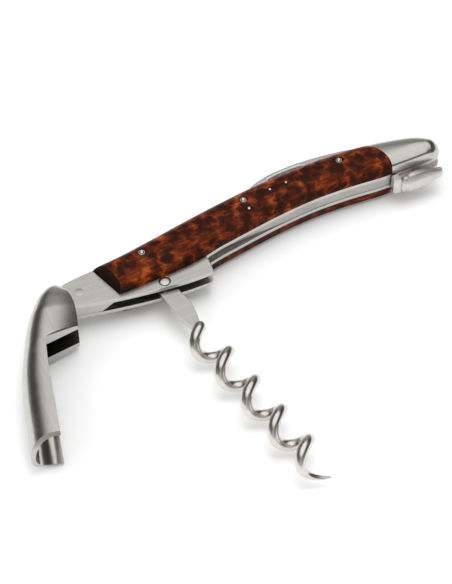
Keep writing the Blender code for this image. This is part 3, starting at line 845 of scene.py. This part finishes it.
bm = bmesh.new()
c, r = FRONT_RIVET
turned(bm, c, [(r * 0.3, -2.64), (r * 0.8, -2.62), (r * 1.02, -2.58),
               (r * 1.02, 2.58), (r * 0.8, 2.62), (r * 0.3, 2.64)], 40)
add(piece("tongue_rivet", bm, EDGE), "handle", "pin_steel", "front_rivet")
bm = bmesh.new()
turned(bm, WORM_PIVOT, [(0.5, -2.9), (1.1, -2.84), (1.5, -2.66),
                        (1.5, 2.62), (1.46, 2.72), (1.34, 2.8), (1.1, 2.87),
                        (0.7, 2.92), (0.3, 2.93)])
add(piece("ear_pin", bm, PIN), "handle", "pin_steel", "worm_pin")


# ------------------------------------------------------------------ lever
def section(o, i, h, knee=0.08, edge=1.0, n=48):
    pts = []
    for k in range(n + 1):
        a = math.radians(-90 + 180 * k / n)
        c, s = max(math.cos(a), 0.0), math.sin(a)
        d = c ** (2 / LEVER_POWER)
        z = h * math.copysign(abs(s) ** (2 / LEVER_POWER), s)
        if k in (0, n):
            d, z = 0.0, math.copysign(h, s)
        pts.append((knee + (1 - knee) * d, z))
    cheek = [(knee * (1 - f / 8), h * (1 - (1 - edge) * (f / 8) ** 2))
             for f in range(1, 9)]
    pts = [(d, -z) for d, z in cheek[::-1]] + pts + cheek
    return [(i[0] + (o[0] - i[0]) * d, i[1] + (o[1] - i[1]) * d, z)
            for d, z in pts]


def stations(rows, per):
    flat = [(o[0], o[1], i[0], i[1], h) for o, i, h in rows]
    return [((s[0], s[1]), (s[2], s[3]), min(s[4], HALF))
            for s in smooth(flat, per)]


head = stations(LEVER_HEAD, 8)
arm = stations(LEVER_ARM, 8)
bm = bmesh.new()
crown = [section(*s, knee=0.5 + 0.1 * k / (len(head) - 1),
                 edge=1.0 - 0.36 * k / (len(head) - 1))
         for k, s in enumerate(head)]
skin(bm, crown + [section(*s) for s in arm])
lever = piece("lever_body", bm, LEVER_SIDE)


def slot_tool(bm):
    slot = [(12.0, 5.4), (6.0, 4.35), (3.2, 3.62)]
    slot += arc(HINGE, SLOT_R, 88.0, 190.0, 36)
    slot += smooth([(-3.4, -3.2), (-6.3, -6.6), (-8.6, -10.8),
                    (-10.7, -15.0), (-12.8, -19.6), (-14.5, -24.4)], 8)
    slot += [(-14.7, -25.2), (-9.0, -26.6), (12.0, -26.6)]
    plain(bm, slot, -SLOT_HALF, SLOT_HALF)


def scoop_tool(bm):
    rows = []
    k = 3.37
    spots = [3.37] + [3.37 + 0.25 * j for j in range(1, 43)] + [14.0, 15.0]
    for s in spots:
        if s > 14.0:
            o, i = (-23.4, -45.4), (-15.8, -47.3)
        else:
            f = min(s * 4.0, len(arm) - 1.0)
            a = int(math.floor(f))
            b = min(a + 1, len(arm) - 1)
            g = f - a
            o = tuple(x + (y - x) * g for x, y in zip(arm[a][0], arm[b][0]))
            i = tuple(x + (y - x) * g for x, y in zip(arm[a][1], arm[b][1]))
        k = (s - 3.37) / 1.63 if s < 5.0 else s - 4.0
        t = min(1.0, k / 9.0)
        ease = t * t * (3 - 2 * t)
        ux, uy = o[0] - i[0], o[1] - i[1]
        d = math.hypot(ux, uy)
        ux, uy = ux / d, uy / d
        w = 3.4 + (SCOOP_HALF - 3.4) * ease \
            - 0.65 * max(0.0, 1.0 - k / 1.6) ** 2
        floor = 3.9 + (d - FOOT_WALL - 3.9) * ease
        ring = [(-4.0, -w)]
        for q in range(37):
            a = math.radians(-90 + 180 * q / 36)
            r = min(w, floor + 1.0)
            ring.append((floor - r + r * math.cos(a), w * math.sin(a)))
        ring.append((-4.0, w))
        rows.append([(i[0] + ux * dd, i[1] + uy * dd, z) for dd, z in ring])
    skin(bm, rows)


def end_tool(bm):
    o, i, h = arm[-1]
    d = math.dist(o, i)
    ux, uy = (o[0] - i[0]) / d, (o[1] - i[1]) / d
    ends = []
    for across in (-6.0, d + 6.0):
        ring = []
        for k in range(41):
            z = -8.0 + 16.0 * k / 40
            reach = -0.2 - 1.8 * (abs(z) / HALF) ** 2 \
                - 1.1 * max(0.0, z / HALF)
            ring.append((reach, z))
        ring += [(9.0, 8.0), (9.0, -8.0)]
        ends.append([(i[0] + ux * across - uy * r,
                      i[1] + uy * across + ux * r, z) for r, z in ring])
    skin(bm, ends)


def pin_bore(bm):
    """Through the lower cheek and blind in the upper one, as on the CAD."""
    turned(bm, HINGE, [(1.36, -9.0), (1.36, 4.9)], 48)


# the slot and the pin bore take the painted-shade steel
boolean(lever, [cutter("slot_tool", slot_tool, SLOT_SHADE),
                cutter("scoop_tool", scoop_tool, TROUGH),
                cutter("end_tool", end_tool, LEVER_SIDE),
                cutter("pin_bore", pin_bore, SLOT_SHADE)])
mend(lever)
soften(lever, 0.13, 2, 34.0)
lever.modifiers.remove(lever.modifiers["weighted"])
weigh(mend(bake(lever), 0.004, 42.0))
add(lever, "lever", "lever_steel", "lever")
frame["nodes"]["lever_pin"].data.materials.clear()
frame["nodes"]["lever_pin"].data.materials.append(PIN)

# ------------------------------------------------------------------- worm
eye = arc(WORM_PIVOT, 2.35, 188.0, -8.0, 40)
shank = eye + smooth([(31.1, -7.6), (31.75, -10.6), (32.5, -13.9),
                      (32.35, -17.8), (31.75, -21.15)], 8)
shank += smooth([(29.45, -21.25), (28.15, -17.8), (27.2, -12.8),
                 (26.5, -8.8)], 6)
bm = bmesh.new()
rounded(bm, shank, -SHANK_HALF, SHANK_HALF, 0.16)
plate = piece("worm_plate", bm, EDGE)
boolean(plate, [cutter("eye_hole", lambda b: turned(
    b, WORM_PIVOT, [(1.56, -9), (1.56, 9)], 36))])
weigh(plate)
add(plate, "worm", "satin_steel", "worm_shank")

ax = (math.cos(WORM_DIR), math.sin(WORM_DIR))
rad = (math.sin(WORM_DIR), -math.cos(WORM_DIR))


def coil(t):
    late = max(0.0, 1.0 - (COIL_TO - t) / FLARE) ** 2
    along = PITCH * t / (2 * math.pi) + 0.9 * late
    r = COIL_R + 1.2 * late
    s, c = math.sin(t), math.cos(t)
    return (WORM_START[0] + ax[0] * along + rad[0] * r * s,
            WORM_START[1] + ax[1] * along + rad[1] * r * s,
            r * c)


route = []
start = (30.85, -20.9, 0.0)
lead = (1.1, -3.9, 1.3)
p1 = coil(COIL_FROM)
q1 = coil(COIL_FROM + 0.01)
v1 = tuple((b - a) / 0.01 * 0.8 for a, b in zip(p1, q1))
for k in range(18):
    t = k / 18
    h = (2 * t ** 3 - 3 * t ** 2 + 1, t ** 3 - 2 * t ** 2 + t,
         -2 * t ** 3 + 3 * t ** 2, t ** 3 - t ** 2)
    route.append(tuple(h[0] * start[j] + h[1] * lead[j] + h[2] * p1[j]
                       + h[3] * v1[j] for j in range(3)))
turns = COIL_TO - COIL_FROM
count = int(turns / math.radians(4.0))
radii = [WIRE_R * (0.55 + 0.45 * min(1.0, k / 13)) for k in range(18)]
for k in range(count + 1):
    t = COIL_FROM + turns * k / count
    route.append(coil(t))
    left = (COIL_TO - t) / TAPER
    radii.append(WIRE_R * (0.12 + 0.88 * min(1.0, max(left, 0.0)) ** 0.6))

# the wire's section, carried along the route without twisting
P = [Vector(p) for p in route]
T = [(P[min(k + 1, len(P) - 1)] - P[max(k - 1, 0)]).normalized()
     for k in range(len(P))]
across = T[0].orthogonal().normalized()
rings = []
for k, (p, t, r) in enumerate(zip(P, T, radii)):
    across = (across - t * across.dot(t)).normalized()
    other = t.cross(across)
    rings.append([p + (across * math.cos(a) + other * math.sin(a)) * r
                  for a in (2 * math.pi * j / 28 for j in range(28))])
bm = bmesh.new()
first = P[0] - T[0] * 0.0
skin(bm, rings)
worm = piece("worm_wire", bm, WIRE, 60.0)
add(worm, "worm", "polished_steel", "worm_screw")

# ------------------------------------------------------------- foil blade
spine = smooth([(60.0, 12.35), (61.6, 13.5), (64.8, 15.0), (68.6, 16.0),
                (73.5, 16.5), (79.2, 16.6), (85.0, 16.2), (90.8, 15.4),
                (96.2, 14.3), (100.0, 13.2), (103.4, 11.9), (106.0, 10.95),
                (108.4, 10.6), (110.0, 9.4), (110.75, 7.4)], 10)
edge = smooth([(60.0, 12.35), (61.4, 10.7), (64.5, 9.4), (69.0, 8.7),
               (76.0, 8.2), (84.0, 7.9), (92.0, 7.7), (96.4, 7.5),
               (97.6, 6.0), (100.0, 4.9), (103.5, 3.9), (107.0, 3.5),
               (109.6, 4.6), (110.75, 7.2)], 10)
sections = []
for k in range(241):
    f = k / 240
    x = 60.12 + (110.6 - 60.12) * f
    yt, yb = below(spine, x), below(edge, x)
    bite = 0.0
    grind = min(3.2, 0.45 * (yt - yb))
    thin = 0.06
    if x > 95.2:
        thin, grind = BLADE_HALF * 0.98, 0.4 * (yt - yb)
    elif 66.0 < x < 94.0:
        bite = 0.28 * (0.5 - 0.5 * math.cos(2 * math.pi * (x - 66.0) / 2.0))
    mid = yb + grind
    e = min(0.22, 0.3 * (yt - yb))
    b = BLADE_HALF
    sections.append([(x, yt - e, -b), (x, yt - e * 0.29, -b + e * 0.29),
                     (x, yt, -b + e), (x, yt, b - e),
                     (x, yt - e * 0.29, b - e * 0.29), (x, yt - e, b),
                     (x, mid, b), (x, yb + bite, thin), (x, yb + bite, -thin),
                     (x, mid, -b)])
bm = bmesh.new()
skin(bm, sections)
blade = piece("cutter_blade", bm, BLADE)


def nick_tool(bm):
    plain(bm, smooth([(68.0, 14.2), (71.0, 14.95), (75.0, 15.3),
                      (79.0, 15.2)], 8) + [(79.0, 14.75), (73.5, 14.5)],
          0.45, 3.0)


boolean(blade, [cutter("nick_tool", nick_tool),
                cutter("blade_hole", lambda b: turned(
                    b, BLADE_PIVOT, [(1.31, -9), (1.31, 9)], 36))])
weigh(blade)
add(blade, "foil_blade", "blade_steel", "foil_blade")

# CAD nodes that stay as they are, with their finish
for n in ("blade_pin", "back_spring_rivet_1", "back_spring_rivet_2",
          "belly_spring_rivet"):
    frame["nodes"][n].data.materials.clear()
    frame["nodes"][n].data.materials.append(PIN)

# ------------------------------------------------------------------ stage
bm = bmesh.new()
bmesh.ops.create_grid(bm, x_segments=2, y_segments=2, size=1.1)
mesh = bpy.data.meshes.new("floor")
bm.to_mesh(mesh)
bm.free()
floor = bpy.data.objects.new("floor", mesh)
bpy.context.scene.collection.objects.link(floor)
floor.location.z = -0.0002
m, n, l, p = tree("floor_mat")
p.inputs["Base Color"].default_value = (0.9, 0.9, 0.9, 1.0)
p.inputs["Roughness"].default_value = 0.75
p.inputs["Specular IOR Level"].default_value = 0.1
p.inputs["Emission Color"].default_value = (1.0, 1.0, 1.0, 1.0)
p.inputs["Emission Strength"].default_value = 0.03
mesh.materials.append(m)

# ----------------------------------------------------------------- camera
ANGLE = math.radians(25.4)
AT = (-44.333, -5.067)
DOWN = math.radians(52.0)
FOCAL = 2000.0
AWAY = FOCAL / 3.9


def plan_to_frame(x, y, z):
    dx, dy = x - AT[0], y - AT[1]
    hx = dx * math.cos(ANGLE) + dy * math.sin(ANGLE)
    hy = -dx * math.sin(ANGLE) + dy * math.cos(ANGLE)
    return Vector(((hx - ORIGIN[0]) / 1000, (hy - ORIGIN[1]) / 1000,
                   (z - ORIGIN[2]) / 1000))


def plan_turn(v):
    return Vector((v[0] * math.cos(ANGLE) + v[1] * math.sin(ANGLE),
                   -v[0] * math.sin(ANGLE) + v[1] * math.cos(ANGLE), v[2]))


camera = bpy.data.cameras.new("camera")
camera.sensor_width = 36.0
camera.lens = FOCAL * 36.0 / 584.0
camera.clip_start = 0.01
camera.clip_end = 10.0
eye_ob = bpy.data.objects.new("camera", camera)
bpy.context.scene.collection.objects.link(eye_ob)
right = plan_turn((1, 0, 0))
up = plan_turn((0, math.sin(DOWN), math.cos(DOWN)))
behind = right.cross(up)
spot = plan_to_frame(0, -AWAY * math.cos(DOWN), AWAY * math.sin(DOWN))
eye_ob.matrix_world = Matrix((
    (right.x, up.x, behind.x, spot.x), (right.y, up.y, behind.y, spot.y),
    (right.z, up.z, behind.z, spot.z), (0, 0, 0, 1)))
bpy.context.scene.camera = eye_ob

# ------------------------------------------------------------------ light
world = bpy.data.worlds.new("studio")
bpy.context.scene.world = world
world.use_nodes = True
n, l = world.node_tree.nodes, world.node_tree.links
n.clear()
coord = n.new("ShaderNodeTexCoord")
sep = n.new("ShaderNodeSeparateXYZ")
l.new(coord.outputs["Generated"], sep.inputs["Vector"])
side = n.new("ShaderNodeVectorMath")
side.operation = "DOT_PRODUCT"
l.new(coord.outputs["Generated"], side.inputs[0])
side.inputs[1].default_value = plan_turn((1, 0, 0))


def step(value, a, b, lo, hi):
    t = n.new("ShaderNodeMapRange")
    t.interpolation_type = "SMOOTHSTEP"
    t.inputs["From Min"].default_value = a
    t.inputs["From Max"].default_value = b
    t.inputs["To Min"].default_value = lo
    t.inputs["To Max"].default_value = hi
    l.new(value, t.inputs["Value"])
    return t.outputs["Result"]


def sums(op, a, b):
    t = n.new("ShaderNodeMath")
    t.operation = op
    for socket, v in zip(t.inputs, (a, b)):
        if hasattr(v, "links"):
            l.new(v, socket)
        else:
            socket.default_value = v
    return t.outputs[0]


front = n.new("ShaderNodeVectorMath")
front.operation = "DOT_PRODUCT"
l.new(coord.outputs["Generated"], front.inputs[0])
front.inputs[1].default_value = plan_turn((0, 1, 0))

# a soft box overhead, pale walls on the left and in front, a dark one right
low = sums("ADD", step(side.outputs["Value"], -0.05, 0.6, 0.48, 0.09),
           step(side.outputs["Value"], -0.85, -0.2, -0.16, 0.0))
low = sums("ADD", low, step(front.outputs["Value"], -0.8, -0.1, 0.18, 0.0))
low = sums("MULTIPLY", low, step(sep.outputs["Z"], 0.28, 0.48, 1.0, 0.72))
gap = sums("MULTIPLY", step(sep.outputs["Z"], 0.10, 0.34, 0.0, 0.70),
           step(side.outputs["Value"], -0.4, 0.0, 1.0, 0.0))
low = sums("MULTIPLY", low, sums("SUBTRACT", 1.0, gap))
tone = sums("ADD", low, step(sep.outputs["Z"], 0.67, 0.84, 0.0, 0.95))
ray = n.new("ShaderNodeLightPath")
soft = mix(n, l, ray.outputs["Is Diffuse Ray"], tone, (0.86, 0.86, 0.86))
pale = mix(n, l, ray.outputs["Is Camera Ray"], soft, (0.95, 0.95, 0.95))
sky = n.new("ShaderNodeBackground")
l.new(pale, sky.inputs["Color"])
sky.inputs["Strength"].default_value = 1.0
out = n.new("ShaderNodeOutputWorld")
l.new(sky.outputs[0], out.inputs["Surface"])


def lamp(name, at, aim, size, radiance, colour=(1, 1, 1)):
    data = bpy.data.lights.new(name, "AREA")
    data.shape = "RECTANGLE"
    data.size, data.size_y = size
    data.energy = radiance * math.pi * size[0] * size[1]
    data.color = colour
    ob = bpy.data.objects.new(name, data)
    bpy.context.scene.collection.objects.link(ob)
    here = plan_to_frame(*at)
    ob.location = here
    ob.rotation_mode = "QUATERNION"
    ob.rotation_quaternion = (plan_to_frame(*aim) - here).to_track_quat(
        "-Z", "Y")
    return ob


for ob in (lamp("key", (60, 130, 680), (0, 0, 0), (0.45, 0.45), 3.2),
           lamp("left", (-520, 60, 300), (0, 0, 0), (0.4, 0.4), 2.2)):
    ob.visible_glossy = False

bpy.context.scene.view_settings.view_transform = "Standard"
bpy.context.scene.view_settings.look = "None"
bpy.context.scene.view_settings.exposure = 0.0
